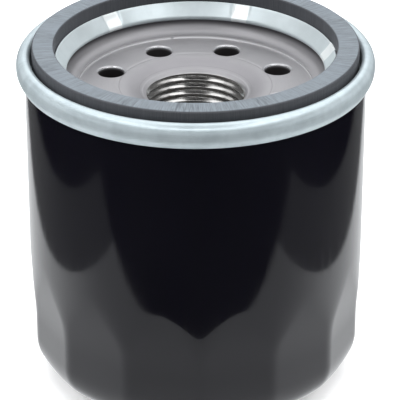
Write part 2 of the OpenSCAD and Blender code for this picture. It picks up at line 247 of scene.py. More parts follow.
class Finish:
    """A Principled material, and short names for the nodes that feed it."""

    def __init__(self, name, **sockets):
        self.material = bpy.data.materials.new(name)
        self.material.use_nodes = True
        self.tree = self.material.node_tree
        self.shader = self.tree.nodes["Principled BSDF"]
        self.place = self.node("ShaderNodeTexCoord").outputs["Object"]
        for key, value in sockets.items():
            self.set(key, value)

    def set(self, key, value):
        socket = self.shader.inputs[key.replace("_", " ").title().replace("Ior", "IOR")]
        self.feed(socket, value)

    def feed(self, socket, value):
        if isinstance(value, bpy.types.NodeSocket):
            self.tree.links.new(value, socket)
        elif isinstance(value, tuple) and socket.type == "RGBA":
            socket.default_value = (*value, 1.0)
        else:
            socket.default_value = value

    def node(self, kind, *inputs, **properties):
        made = self.tree.nodes.new(kind)
        for key, value in properties.items():
            setattr(made, key, value)
        for index, value in enumerate(inputs):
            if value is not None:
                self.feed(made.inputs[index], value)
        return made

    def math(self, operation, a, b=None):
        return self.node("ShaderNodeMath", a, b, operation=operation).outputs[0]

    def split(self, vector):
        return self.node("ShaderNodeSeparateXYZ", vector).outputs

    def join(self, x, y, z):
        return self.node("ShaderNodeCombineXYZ", x, y, z).outputs[0]

    def radius(self):
        """Distance from the filter's axis, in metres."""
        x, y, _ = self.split(self.place)
        return self.math("SQRT", self.math("ADD", self.math("MULTIPLY", x, x),
                                           self.math("MULTIPLY", y, y)))

    def round_place(self, around, across, up):
        """Coordinates that stretch a texture round the axis, across it and along it."""
        x, y, z = self.split(self.place)
        r = self.math("MAXIMUM", self.radius(), 1e-5)
        return self.join(self.math("MULTIPLY", self.math("DIVIDE", x, r), around),
                         self.math("MULTIPLY", self.math("DIVIDE", y, r), around),
                         self.math("ADD", self.math("MULTIPLY", r, across),
                                   self.math("MULTIPLY", z, up)))

    def noise(self, vector, scale, detail=3.0, roughness=0.55):
        made = self.node("ShaderNodeTexNoise")
        self.feed(made.inputs["Vector"], vector)
        self.feed(made.inputs["Scale"], scale)
        self.feed(made.inputs["Detail"], detail)
        self.feed(made.inputs["Roughness"], roughness)
        return made.outputs[0]

    def cells(self, vector, scale, feature="F1"):
        made = self.node("ShaderNodeTexVoronoi", feature=feature)
        self.feed(made.inputs["Vector"], vector)
        self.feed(made.inputs["Scale"], scale)
        return made.outputs["Distance"]

    def stretch(self, value, low, high, to_low=0.0, to_high=1.0):
        """value from low to high becomes to_low to to_high, and is held there past the ends."""
        made = self.node("ShaderNodeMapRange", value, low, high, to_low, to_high)
        made.interpolation_type = "SMOOTHSTEP"
        return made.outputs[0]

    def band(self, value, centre, width):
        """1 at the centre, falling to 0 a width away on either side."""
        off = self.math("ABSOLUTE", self.math("SUBTRACT", value, centre))
        return self.stretch(off, 0.0, width, 1.0, 0.0)

    def blend(self, factor, a, b):
        """Colour a where the factor is 0, and b where it is 1."""
        # The node's colour sockets share their names with others, so they are found by number.
        made = self.node("ShaderNodeMix", data_type="RGBA")
        self.feed(made.inputs["Factor"], factor)
        self.feed(made.inputs[6], a)
        self.feed(made.inputs[7], b)
        return made.outputs[2]

    def bump(self, height, distance, strength=1.0, under=None):
        """Relief of a height texture. distance is its depth in metres."""
        made = self.node("ShaderNodeBump")
        self.feed(made.inputs["Strength"], strength)
        self.feed(made.inputs["Distance"], distance)
        self.feed(made.inputs["Height"], height)
        if under is not None:
            self.feed(made.inputs["Normal"], under)
        return made.outputs[0]


def enamel():
    """Glossy black enamel on drawn sheet: orange peel, faint draw lines, and a little dust."""
    f = Finish("black_enamel", ior=1.5, coat_weight=1.0, coat_roughness=0.035, coat_ior=1.5)
    cloud = f.noise(f.place, 45, 4)
    dust = f.stretch(f.cells(f.place, 1500), 0.03, 0.07, 1.0, 0.0)
    patch = f.stretch(f.noise(f.place, 260, 2), 0.56, 0.7)
    dust = f.math("MULTIPLY", dust, patch)
    base = f.blend(cloud, (0.0028, 0.0026, 0.0046), (0.0052, 0.0049, 0.0078))
    f.set("base_color", f.blend(f.math("MULTIPLY", dust, 0.3), base, (0.09, 0.09, 0.1)))
    wear = f.noise(f.round_place(40, 0, 12), 1.0, 5, 0.7)
    f.set("roughness", f.stretch(wear, 0.35, 0.75, 0.07, 0.2))
    peel = f.bump(f.noise(f.place, 900, 2), 1.2e-6)
    drawn = f.bump(f.noise(f.round_place(170, 0, 14), 1.0, 3), 8e-6, 1.0, peel)
    f.set("normal", drawn)
    f.feed(f.shader.inputs["Coat Normal"], drawn)
    return f.material


def galvanised():
    """Zinc-coated sheet: pale bluish spangle, rolling lines and dull smears, a lip painted paler and
    painted highlights on the crimps.
    """
    f = Finish("galvanised_sheet", metallic=0.52)
    spangle = f.noise(f.place, 330, 3, 0.6)
    lines = f.noise(f.round_place(3, 9000, 9000), 1.0, 3, 0.6)
    smear = f.noise(f.round_place(9, 120, 120), 1.0, 4, 0.65)
    tone = f.blend(f.stretch(spangle, 0.3, 0.7), (0.48, 0.555, 0.585), (0.56, 0.64, 0.67))
    tone = f.blend(f.stretch(lines, 0.35, 0.75, 0.0, 0.2), tone, (0.36, 0.42, 0.45))
    tone = f.blend(f.stretch(smear, 0.58, 0.8, 0.0, 0.4), tone, (0.36, 0.41, 0.43))
    # Painted light: the lip, inside LIP_R, is painted paler than the rest of the sheet.
    lip_ends = LIP_R * MM, (LIP_R + 0.3) * MM
    tone = f.blend(f.stretch(f.radius(), *lip_ends, 0.5, 0.0), tone, (0.74, 0.8, 0.81))
    # Painted highlights: the six crimps on the lip are painted near white.
    x, y, _ = f.split(f.place)
    turn = f.math("ADD", f.math("ARCTAN2", y, x), math.tau + CRIMP_STEP / 2 - CRIMP_AT)
    off = f.math("SUBTRACT", f.math("MODULO", turn, CRIMP_STEP), CRIMP_STEP / 2)
    crimp = f.stretch(f.math("ABSOLUTE", off), CRIMP_HALF - 0.012, CRIMP_HALF, 1.0, 0.0)
    crimp_highlight = f.math("MULTIPLY", crimp, f.stretch(f.radius(), *lip_ends, 0.9, 0.0))
    f.set("base_color", f.blend(crimp_highlight, tone, (0.9, 0.94, 0.94)))
    f.set("roughness", f.stretch(smear, 0.3, 0.8, 0.3, 0.42))
    grain = f.bump(lines, 4e-6)
    f.set("normal", f.bump(f.noise(f.place, 2600, 2), 4e-6, 0.8, grain))
    return f.material


def gasket_rubber():
    """Moulded rubber: radial scuffs on the sealing face, and a painted sheen that makes it much
    lighter than the darker sides.
    """
    f = Finish("gasket_rubber", specular_ior_level=0.36)
    # Painted sheen: faces that look up get a much lighter colour than the sides.
    facing = f.split(f.node("ShaderNodeNewGeometry").outputs["Normal"])[2]
    top = f.stretch(facing, 0.75, 0.98)
    radial = f.noise(f.round_place(190, 260, 0), 1.0, 4, 0.7)
    fine = f.noise(f.round_place(700, 500, 300), 1.0, 3, 0.6)
    cloud = f.noise(f.place, 110, 4, 0.6)
    scuffed_painted_sheen = f.blend(f.stretch(radial, 0.32, 0.66), (0.065, 0.075, 0.086), (0.195, 0.222, 0.245))
    scuffed_painted_sheen = f.blend(f.stretch(cloud, 0.35, 0.7, 0.0, 0.5), scuffed_painted_sheen, (0.16, 0.185, 0.21))
    crack = f.stretch(f.cells(f.round_place(15, 30, 0), 1.0, "DISTANCE_TO_EDGE"), 0.004, 0.02,
                      1.0, 0.0)
    near = f.stretch(f.noise(f.round_place(6, 0, 0), 1.0, 1), 0.5, 0.6)
    scuffed_painted_sheen = f.blend(f.math("MULTIPLY", f.math("MULTIPLY", crack, near), 0.65), scuffed_painted_sheen,
                    (0.05, 0.055, 0.065))
    side = f.blend(f.stretch(fine, 0.35, 0.7), (0.04, 0.042, 0.048), (0.075, 0.078, 0.086))
    f.set("base_color", f.blend(top, side, scuffed_painted_sheen))
    f.set("roughness", f.stretch(radial, 0.3, 0.7, 0.42, 0.62))
    scuff = f.bump(radial, 1.2e-5, top)
    f.set("normal", f.bump(fine, 1e-5, 0.7, scuff))
    return f.material


def pressed_steel():
    """The base plate: dull and pressed, with turning marks, cut threads and punched inlets."""
    f = Finish("pressed_steel", metallic=0.9)
    r = f.radius()
    z = f.split(f.place)[2]
    cut = f.stretch(r, 10.2 * MM, 10.6 * MM, 1.0, 0.0)
    cut = f.math("MULTIPLY", cut, f.stretch(z, (PLATE_Z - 1.9) * MM, (PLATE_Z - 1.6) * MM, 1.0, 0.0))
    turned = f.noise(f.round_place(1.6, 16000, 0), 1.0, 3, 0.7)
    cloud = f.noise(f.place, 90, 4, 0.6)
    stain = f.noise(f.round_place(5, 160, 0), 1.0, 4, 0.6)
    tone = f.blend(f.stretch(cloud, 0.3, 0.7), (0.4, 0.39, 0.402), (0.46, 0.449, 0.461))
    tone = f.blend(f.stretch(turned, 0.3, 0.75, 0.0, 0.3), tone, (0.33, 0.32, 0.335))
    tone = f.blend(f.stretch(stain, 0.55, 0.8, 0.0, 0.35), tone, (0.35, 0.338, 0.35))
    # Painted shade: thin dark lines in the groove round the shoulder and just outside the thread's
    # mouth.
    ring = f.math("ADD", f.band(r, SHOULDER_R * MM, 0.09 * MM), f.band(r, 10.75 * MM, 0.06 * MM))
    tone = f.blend(f.math("MULTIPLY", ring, 0.5), tone, (0.14, 0.135, 0.145))
    # Painted shade: the shoulder's slope is painted darker.
    shoulder_shade = f.math("MULTIPLY", f.stretch(r, 9.6 * MM, 11.2 * MM),
                   f.stretch(r, 12.0 * MM, 14.4 * MM, 1.0, 0.0))
    tone = f.blend(f.math("MULTIPLY", shoulder_shade, 0.6), tone, (0.31, 0.3, 0.315))
    # Painted highlight: a thin bright line along the step's edge, with a short gap.
    x, y, _ = f.split(f.place)
    step_highlight_gap = f.band(f.math("ARCTAN2", y, x), math.radians(102), math.radians(1.3))
    step_highlight = f.math("MULTIPLY", f.band(r, STEP_R * MM, 0.12 * MM), f.math("SUBTRACT", 1.0, step_highlight_gap))
    tone = f.blend(step_highlight, tone, (0.85, 0.84, 0.85))
    # Painted shade: the plate is painted dark under the cover's lip, and so are the walls of the
    # inlets. Painted highlight: the inlets' rounded lips are painted bright, and they are smoother.
    scale = f.stretch(z, (PLATE_Z + 1.5) * MM, (RIM_Z - 0.2) * MM, 0.0, 0.9)
    tone = f.blend(scale, tone, (0.07, 0.065, 0.07))
    outside_slope = f.stretch(r, 14.7 * MM, 14.85 * MM)
    punched = f.stretch(z, (PLATE_Z - 0.9) * MM, (PLATE_Z - 0.5) * MM, 0.85, 0.0)
    tone = f.blend(f.math("MULTIPLY", punched, outside_slope), tone, (0.05, 0.045, 0.045))
    inside_step = f.stretch(r, 20.4 * MM, 20.6 * MM, 1.0, 0.0)
    inlet_lip_highlight = f.math("MULTIPLY", f.band(z, (PLATE_Z - 0.26) * MM, 0.26 * MM),
                  f.math("MULTIPLY", outside_slope, inside_step))
    tone = f.blend(inlet_lip_highlight, tone, (0.93, 0.92, 0.93))
    f.set("base_color", f.blend(cut, tone, (0.5, 0.485, 0.47)))
    dull = f.stretch(cloud, 0.3, 0.7, 0.44, 0.56)
    smooth = f.math("MAXIMUM", f.math("MULTIPLY", cut, 0.32), f.math("MULTIPLY", inlet_lip_highlight, 0.25))
    f.set("roughness", f.math("SUBTRACT", dull, smooth))
    marks = f.bump(turned, 5e-6, f.stretch(cut, 0.0, 1.0, 1.0, 0.15))
    f.set("normal", f.bump(f.noise(f.place, 1900, 3), 6e-6, 0.6, marks))
    return f.material


def plain_steel(name, light, dark, roughness, along=False):
    """Sheet or wire steel with a rolled grain and small stains."""
    f = Finish(name, metallic=1.0)
    grain = f.noise(f.round_place(260 if along else 3, 0 if along else 7000, 60 if along else 7000),
                    1.0, 3, 0.6)
    stain = f.noise(f.place, 210, 4, 0.6)
    tone = f.blend(f.stretch(grain, 0.3, 0.7), light, dark)
    f.set("base_color", f.blend(f.stretch(stain, 0.55, 0.75, 0.0, 0.5), tone, dark))
    f.set("roughness", f.stretch(stain, 0.3, 0.7, roughness - 0.06, roughness + 0.08))
    f.set("normal", f.bump(f.noise(f.place, 2400, 2), 4e-6, 0.7, f.bump(grain, 4e-6)))
    return f.material


def soft_rubber(name, light, dark, roughness=0.5):
    """Moulded rubber or plastisol with a fine mottled skin."""
    f = Finish(name)
    mottle = f.noise(f.place, 240, 4, 0.6)
    fine = f.noise(f.place, 2600, 2)
    f.set("base_color", f.blend(f.stretch(mottle, 0.3, 0.7), light, dark))
    f.set("roughness", f.stretch(mottle, 0.3, 0.7, roughness - 0.08, roughness + 0.1))
    f.set("normal", f.bump(fine, 1e-5, 0.6, f.bump(mottle, 3e-5, 0.5)))
    return f.material


def filter_paper():
    """Resin-treated filter paper: fibres, a pressed pattern of fine dots and browned folds."""
    f = Finish("filter_paper", roughness=0.85, sheen_weight=0.1)
    fibre = f.noise(f.place, 1400, 5, 0.75)
    cloud = f.noise(f.place, 120, 3)
    fold = f.stretch(f.radius(), 25.9 * MM, 26.6 * MM)
    tone = f.blend(f.stretch(fibre, 0.3, 0.7), (0.62, 0.4, 0.15), (0.78, 0.56, 0.26))
    tone = f.blend(f.stretch(cloud, 0.4, 0.7, 0.0, 0.5), tone, (0.66, 0.43, 0.17))
    f.set("base_color", f.blend(f.math("MULTIPLY", fold, 0.5), tone, (0.45, 0.27, 0.1)))
    dots = f.cells(f.place, 900)
    f.set("normal", f.bump(fibre, 4e-5, 0.6, f.bump(dots, 3e-5, 0.4)))
    return f.material


def nylon():
    """Natural nylon with flow lines."""
    f = Finish("poppet_nylon", roughness=0.38, subsurface_weight=0.15, subsurface_scale=0.001)
    flow = f.noise(f.round_place(5, 900, 500), 1.0, 4, 0.6)
    f.set("base_color", f.blend(f.stretch(flow, 0.3, 0.7), (0.74, 0.69, 0.58), (0.83, 0.79, 0.69)))
    f.set("normal", f.bump(f.noise(f.place, 2000, 3), 8e-6, 0.6, f.bump(flow, 1e-5, 0.5)))
    return f.material


ENAMEL = enamel()
ZINC = galvanised()
GASKET = gasket_rubber()
STEEL = pressed_steel()
TINPLATE = plain_steel("tinned_steel", (0.64, 0.65, 0.67), (0.46, 0.47, 0.5), 0.34)
TUBE_STEEL = plain_steel("tube_steel", (0.5, 0.51, 0.53), (0.34, 0.35, 0.37), 0.38)
YELLOW_ZINC = plain_steel("yellow_zinc", (0.66, 0.5, 0.2), (0.5, 0.42, 0.24), 0.33)
WELD = plain_steel("weld_steel", (0.36, 0.35, 0.36), (0.2, 0.19, 0.22), 0.5)
SPRING = plain_steel("spring_steel", (0.42, 0.43, 0.46), (0.24, 0.25, 0.28), 0.3, along=True)
VALVE_RUBBER = soft_rubber("valve_rubber", (0.032, 0.012, 0.009), (0.018, 0.007, 0.006))
SEAL_RUBBER = soft_rubber("seal_rubber", (0.022, 0.022, 0.024), (0.012, 0.012, 0.013))
COMPOUND = soft_rubber("sealing_compound", (0.2, 0.26, 0.14), (0.14, 0.19, 0.1), 0.6)
PLASTISOL = soft_rubber("plastisol", (0.5, 0.13, 0.05), (0.36, 0.08, 0.03), 0.45)
PAPER = filter_paper()
NYLON = nylon()


# ---------------------------------------------------------------- can

def fluted_radius(angle, z):
    """Radius of the can's fluted wall: flats of a rounded polygon that fade into a circle."""
    flat_r, rib_rise, fade_top, fade_len = 31.4, 0.69, 28.2, 15.0
    step = math.tau / FLUTES
    spread = 1 / math.cos(step / 2) - 1
    flat = CAN_R - (CAN_R - flat_r) * ease((fade_top - z) / fade_len)
    soft = 0.12
    gap = flat + rib_rise - CAN_R
    rib = CAN_R + 0.5 * (gap - np.sqrt(gap * gap + soft * soft)) + 0.5 * (
        np.sqrt(rib_rise ** 2 + soft ** 2) - rib_rise)
    rib = np.clip(rib, flat, CAN_R)
    straight = (rib - flat) / spread                  # flat radius less the rib's own radius
    bend = flat - straight
    off = np.abs((angle - FIRST_RIB) % step - step / 2)
    half_flat = straight * math.tan(step / 2)
    centre = straight / math.cos(step / 2)
    turn = step / 2 - off
    on_rib = centre * np.cos(turn) + np.sqrt(np.maximum(bend ** 2 - (centre * np.sin(turn)) ** 2, 0))
    return np.where(flat * np.tan(off) <= half_flat, flat / np.cos(off), on_rib)


def can_shape(angle, r, z):
    """Presses the flutes into the turned can. They fade away round its lower corner."""
    corner = 9.0
    share = fluted_radius(angle, z) / CAN_R
    return r * (1 - ease(z / corner) * (1 - share)), z


def make_can():
    """The can's lower corner is a wide arc from its floor and a tight one into its wall."""
    half = SHEET / 2
    wall = CAN_R - half
    wide, tight, meet = 15, 8, 60
    c, s = math.cos(math.radians(meet)), math.sin(math.radians(meet))
    floor_r = CAN_R - tight * (1 - c) - wide * c
    corner_z = wide * (1 - s) + tight * s
    dimple = rounded([(0, 1 + half), (13.1, 1 + half, 1.6), (14.9, half, 1.6), (floor_r, half)],
                     closed=False)
    flutes_end, hook_z, hook_r = 31, SEAM_TOP - 1.39, 0.44
    path = line(dimple[0], dimple[1], 2) + dimple[2:-1]
    path += arc(floor_r, wide, wide - half, -90, -meet, 8)[0:-1]
    path += arc(CAN_R - tight, corner_z, tight - half, -meet, 0, 14)[0:-1]
    path += line((wall, corner_z), (wall, flutes_end), 0.45)[0:-1]
    path += line((wall, flutes_end), (wall, hook_z), 1.5)[0:-1]
    path += arc(wall + hook_r, hook_z, hook_r, 180, 0, 10)
    path += [(wall + 2 * hook_r, SEAM_TOP - 3.6)]
    return turned_piece("can_shell", sheet(path, SHEET, False), ENAMEL, "housing", "can",
                        "black_enamel", columns=FLUTES * 30, shape=can_shape, sharp=50)


# ---------------------------------------------------------------- seam, gasket and base plate

def cover_path():
    """Middle line of the cover, from its hook round the seam to the lip that holds the gasket."""
    half = SHEET / 2
    seam_r, bead_h, bead_r, power = 34.0, 2.385, 31.66, 2.45
    bead_z = SEAM_TOP - bead_h
    across, up = seam_r - bead_r - half, bead_h - half

    def bead(degrees):
        c, s = math.cos(math.radians(degrees)), math.sin(math.radians(degrees))
        return (bead_r + across * math.copysign(abs(c) ** (2 / power), c),
                bead_z + up * math.copysign(abs(s) ** (2 / power), s))

    hook = [(CAN_R + 0.24, SEAM_TOP - 1.75), (CAN_R + 0.24, bead_z - 1.6)]
    hook += arc(CAN_R + 0.49, bead_z - 1.93, 0.25, -180, -15, 8)
    over = [bead(a) for a in np.linspace(-40, 75, 36)]
    tip = over[-1]
    over += arc(32.35, tip[1] - 0.75, 0.75, 92, 180, 8)
    floor_z = GROOVE_Z - half
    groove = line((31.6, tip[1] - 1.2), (31.6, floor_z + 0.6), 0.5)
    groove += arc(31.1, floor_z + 0.5, 0.5, 0, -90, 6)
    groove += line((30.4, floor_z), (25.4, floor_z), 1.2)
    lean = 38.1
    bend = arc(25.15, floor_z + 0.45, 0.45, -90, -180 - lean, 12)
    foot = np.array(bend[-1])
    way = np.array([math.sin(math.radians(lean)), math.cos(math.radians(lean))])
    return hook + over + groove + bend + line(foot + 0.25 * way, foot + 2.75 * way, 0.28)


def crimped(angle, r, z):
    """Six crimps press the lip's upper edge a little further over the gasket's foot."""
    along = ease((z - (GROOVE_Z + 0.3)) / 1.9) * (r < 27.5) * (r > 24)
    at = (angle - CRIMP_AT + CRIMP_STEP / 2) % CRIMP_STEP - CRIMP_STEP / 2
    push = np.clip((CRIMP_HALF - np.abs(at)) / math.radians(0.5), 0, 1) * along
    return r + (0.2 + 26 * (1 / np.cos(at) - 1)) * push, z - 0.12 * push


def make_cover():
    return turned_piece("seam_cover_sheet", sheet(cover_path(), SHEET), ZINC, "housing",
                        "seam_cover", "galvanised_sheet", columns=480, shape=crimped, sharp=60)


def make_gasket():
    base = GROOVE_Z + 0.02
    outline = rounded([(25.35, base, 0.1), (31.0, base, 0.3), (31.0, TOP, 0.45), (26.8, TOP, 0.4),
                       (26.8, GROOVE_Z + 2.65, 0.4), (25.35, GROOVE_Z + 0.7, 0.15)])
    return turned_piece("gasket_ring", outline, GASKET, "housing", "gasket", "gasket_rubber",
                        columns=288, sharp=60)


def threaded(angle, r, z):
    """Cuts the M20 x 1.5 thread into the hub's wall, with a chamfer at its mouth."""
    crest_z, mouth = PLATE_Z - 1.75, PLATE_Z - 1.8
    turn = (z - crest_z) / PITCH - (angle - math.pi / 2) / math.tau
    away = np.abs((turn + 0.5) % 1 - 0.5)
    flank = (away - 0.06) / 0.41
    groove = THREAD_DEPTH * (0.85 * np.clip(flank, 0, 1) + 0.15 * ease(flank))
    lead = ease((z - HUB_Z) / 0.7)
    wall = THREAD_MINOR + groove * lead + 0.55 * (1 - lead)
    wall = np.maximum(wall, THREAD_MINOR + (z - mouth) * 1.6)
    inside = (r < THREAD_MINOR + 0.01) & (z < PLATE_Z - 1.2)
    return np.where(inside, wall, r), z


def inlet_angles():
    return [math.radians(90 + 69.45 - k * 360 / INLETS) for k in range(INLETS)]


def base_outline():
    """The plate's section: hub, shoulder, flat middle, a step up, the curved wall and the rim."""
    thick = 2.6
    under = PLATE_Z - thick
    wall_r, wall_z = 2.6, RIM_Z + 0.2
    mouth_r, fall = 10.1, 1.25
    mouth_z = PLATE_Z - fall
    curve = ((SHOULDER_R - mouth_r) ** 2 + fall ** 2) / (2 * fall)
    turn = math.degrees(math.asin((SHOULDER_R - mouth_r) / curve))
    bore = line((THREAD_MINOR, HUB_Z), (THREAD_MINOR, mouth_z), 0.05)
    shoulder = arc(SHOULDER_R, PLATE_Z - curve, curve, 90 + turn, 90, 12)
    line_groove = [(14.62, PLATE_Z), (14.68, PLATE_Z - 0.035), (14.8, PLATE_Z - 0.035),
                   (14.86, PLATE_Z)]
    step = rounded([(15.5, PLATE_Z), (22.28, PLATE_Z, 0.12), (22.45, wall_z - wall_r, 0.12),
                    (22.62, wall_z - wall_r)], closed=False, steps=4)
    wall = arc(22.5, wall_z, wall_r, -86, -4.4, 16)
    rim = rounded([(25.2, RIM_Z), (31.5, RIM_Z, 0.2), (31.5, RIM_Z - thick, 0.3),
                   (27.9, RIM_Z - thick)], closed=False)
    below = arc(22.7, under + 5.2, 5.2, -27.5, -90, 12)
    hub = arc(13, under - 1, 1, 90, 180, 8) + [(12, HUB_Z + 0.45), (11.55, HUB_Z)]
    return bore + shoulder + line_groove + step + wall + rim + below + hub


def make_base_plate():
    """Turns the plate, and cuts the inlets with one tool for all of them."""
    sharp = 38
    plate = turned_piece("base_plate_body", base_outline(), STEEL, "housing", "base_plate",
                         "pressed_steel", columns=384, shape=threaded, sharp=sharp)
    low, lip = PLATE_Z - 4.0, 0.5
    cutter = [(0, low), (INLET_R, low)] + arc(INLET_R + lip, PLATE_Z - lip, lip, 180, 90, 6)
    cutter += [(INLET_R + lip, PLATE_Z + 1), (0, PLATE_Z + 1)]
    points, faces = [], []
    for angle in inlet_angles():
        p, f = lathe(cutter, 40)
        start = sum(len(q) for q in points)
        shift = [INLET_CIRCLE_R * math.cos(angle), INLET_CIRCLE_R * math.sin(angle), 0]
        points.append(p + shift)
        faces += [tuple(start + i for i in face) for face in f]
    tool = piece("inlet_cutters", np.vstack(points), faces, STEEL, None)
    cut = plate.modifiers.new("inlets", "BOOLEAN")
    cut.object, cut.operation, cut.solver = tool, "DIFFERENCE", "EXACT"
    apply_modifiers(plate)
    bpy.data.objects.remove(tool)
    smooth_normals(plate.data, sharp)
    even = plate.modifiers.new("even_normals", "WEIGHTED_NORMAL")
    even.keep_sharp = True
    return plate


def make_drainback():
    """The rubber valve's collar grips the hub, and its flap lies against the plate."""
    flange, lip = CAP_TOP + 0.02, PLATE_Z - 2.63
    outline = rounded([
        (9.9, flange, 0.2), (14.3, flange, 0.3), (14.6, flange + 3, 0.8), (23, lip - 1.1, 0.8),
        (24, lip - 0.3, 0.15), (24, lip, 0.1), (22.6, lip, 0.3), (14.8, lip - 3.4, 0.6),
        (13.8, lip - 2.8, 0.3), (12.05, lip - 2.8, 0.2), (12.05, HUB_Z - 0.02, 0.05),
        (9.9, HUB_Z - 0.02, 0.2)])
    valve = turned_piece("drainback_rubber", outline, VALVE_RUBBER, None, "drainback_valve",
                         "valve_rubber", columns=160, sharp=50)
    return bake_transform(valve)


# ---------------------------------------------------------------- filter element

def make_end_cap(name, node, z, up, inner):
    """A pressed cap with a turned skirt, a stiffening bead and, at its middle, its own collar."""
    r = 27.3
    bead = [(19.2, z), (19.7, z + 0.35 * up), (21.3, z + 0.35 * up), (21.8, z)]
    path = inner + line((inner[-1][0] + 0.6, z), (19.0, z), 1.5) + rounded(
        [(19.0, z)] + [(*p, 0.4) for p in bead] + [(24, z)], closed=False)[1:]
    path += arc(r - 0.6, z + 0.6 * up, 0.6, -90 * up, 0, 6) + [(r, z + 3.2 * up)]
    return turned_piece(name, sheet(path, 0.36), TINPLATE, "element", node, "tinned_steel",
                        columns=160, sharp=50)


def make_top_cap():
    z = CAP_TOP - 0.2
    neck = [(10.55, z - 3.2)] + arc(11.05, z - 0.5, 0.5, 180, 90, 6)
    make_end_cap("threaded_end_cap", "top_end_cap", z, -1, neck)


def make_bottom_cap():
    z = ELEMENT_Z + 0.2
    cup = [(7.3, z + 1.1)] + rounded([(8, z + 1.1), (9.4, z + 1.1, 0.4), (10.1, z, 0.4), (11, z)],
                                     closed=False)
    make_end_cap("dome_end_cap", "bottom_end_cap", z, 1, cup)


def make_paper():
    """Folded paper. Its pleats lean and wander a little, as glued ones do."""
    thick, fold, inner_r = 0.5, 0.55, 11.65
    outer_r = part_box("pleated_paper")[1].x / MM
    step = math.tau / PLEATS
    lean = rng.normal(0, 0.006, PLEATS)
    low, high = (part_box("pleated_paper")[k].z / MM for k in (0, 1))
    middle = []
    for k in range(PLEATS):
        a = k * step
        root = inner_r * math.sin(step / 2) - 0.42
        for r, s, bend in ((inner_r, -root, 0.3), (outer_r - thick / 2, -fold, 0.4),
                           (outer_r - thick / 2, fold, 0.4), (inner_r, root, 0.3)):
            t = a + (lean[k] if r > 20 else 0)
            middle.append((r * math.cos(t) - s * math.sin(t), r * math.sin(t) + s * math.cos(t), bend))
    path = np.array(rounded(middle, steps=4))
    around = np.roll(path, -1, 0) - np.roll(path, 1, 0)
    around /= np.linalg.norm(around, axis=1)[:, None]
    side = np.stack([around[:, 1], -around[:, 0]], axis=1) * thick / 2
    heights = np.linspace(low, high, 9)
    count, rows = len(path), len(heights)
    points, faces = [], []
    for wall in (path + side * 0.96, path - side * 0.96):
        for z in heights:
            points.append(np.column_stack([wall, np.full(count, z)]))
    for w in range(2):
        for j in range(rows - 1):
            for i in range(count):
                a, b = (w * rows + j) * count, (w * rows + j + 1) * count
                faces.append((a + i, a + (i + 1) % count, b + (i + 1) % count, b + i))
    for j in (0, rows - 1):
        a, b = j * count, (rows + j) * count
        faces += [(a + i, a + (i + 1) % count, b + (i + 1) % count, b + i) for i in range(count)]
    return piece("filter_pleats", np.vstack(points), faces, PAPER, "element", "pleated_paper",
                 "filter_paper", sharp=60)


def make_centre_tube():
    """Perforated tube: each cell of its wall has one round hole, and the rows are staggered."""
    columns, rows, hole = 8, 7, 1.6
    low, high = ELEMENT_Z + 0.5, CAP_TOP - 0.5
    pitch = (high - low - 10) / (rows - 1)
    wall = TUBE_R - 0.2
    width = math.tau * wall / columns
    quarter = 8
    points, faces = [], []

    def place(u, z):
        points.append((wall * math.cos(u / wall), wall * math.sin(u / wall), z))
        return len(points) - 1

    for row in range(rows):
        for column in range(columns):
            u0 = (column + 0.5 * (row % 2)) * width
            z0 = low + 5 + row * pitch
            rings = []
            for ring in range(4):
                ids = []
                for k in range(4 * quarter):
                    t = math.tau * k / (4 * quarter) + math.pi / 4
                    c, s = math.cos(t), math.sin(t)
                    edge = max(abs(c), abs(s))
                    square = (c / edge * width / 2, s / edge * pitch / 2)
                    share = (ring / 3) ** 1.3
                    ids.append(place(u0 + hole * c * (1 - share) + square[0] * share,
                                     z0 + hole * s * (1 - share) + square[1] * share))
                rings.append(ids)
            for inner, outer in zip(rings, rings[1:]):
                for k in range(4 * quarter):
                    m = (k + 1) % (4 * quarter)
                    faces.append((inner[k], inner[m], outer[m], outer[k]))
    top, bottom = low + 5 + (rows - 0.5) * pitch, low + 5 - 0.5 * pitch
    cells = columns * 16
    for z_from, z_to in ((bottom, low), (top, high)):
        for k in range(cells):
            a, b = k * math.tau * wall / cells, (k + 1) * math.tau * wall / cells
            faces.append((place(a, z_from), place(b, z_from), place(b, z_to), place(a, z_to)))
    made = piece("perforated_tube", points, faces, TUBE_STEEL, "element", "centre_tube",
                 "tube_steel", sharp=35, merge=2e-3)
    thick = made.modifiers.new("thickness", "SOLIDIFY")
    thick.thickness, thick.offset = 0.4 * MM, 0
    return made


# ---------------------------------------------------------------- bypass valve and springs

def make_bypass_seat():
    """A ring with an upturned lip."""
    seat = [(4.8, ELEMENT_Z + 2.9)] + arc(5.3, SEAT_Z + 0.75, 0.5, 180, 270, 6)
    seat += line((5.8, SEAT_Z + 0.25), (9.3, SEAT_Z + 0.25), 0.8)
    turned_piece("bypass_seat_ring", sheet(seat, 0.48), YELLOW_ZINC, "element", "bypass_seat",
                 "yellow_zinc", columns=120, sharp=50)


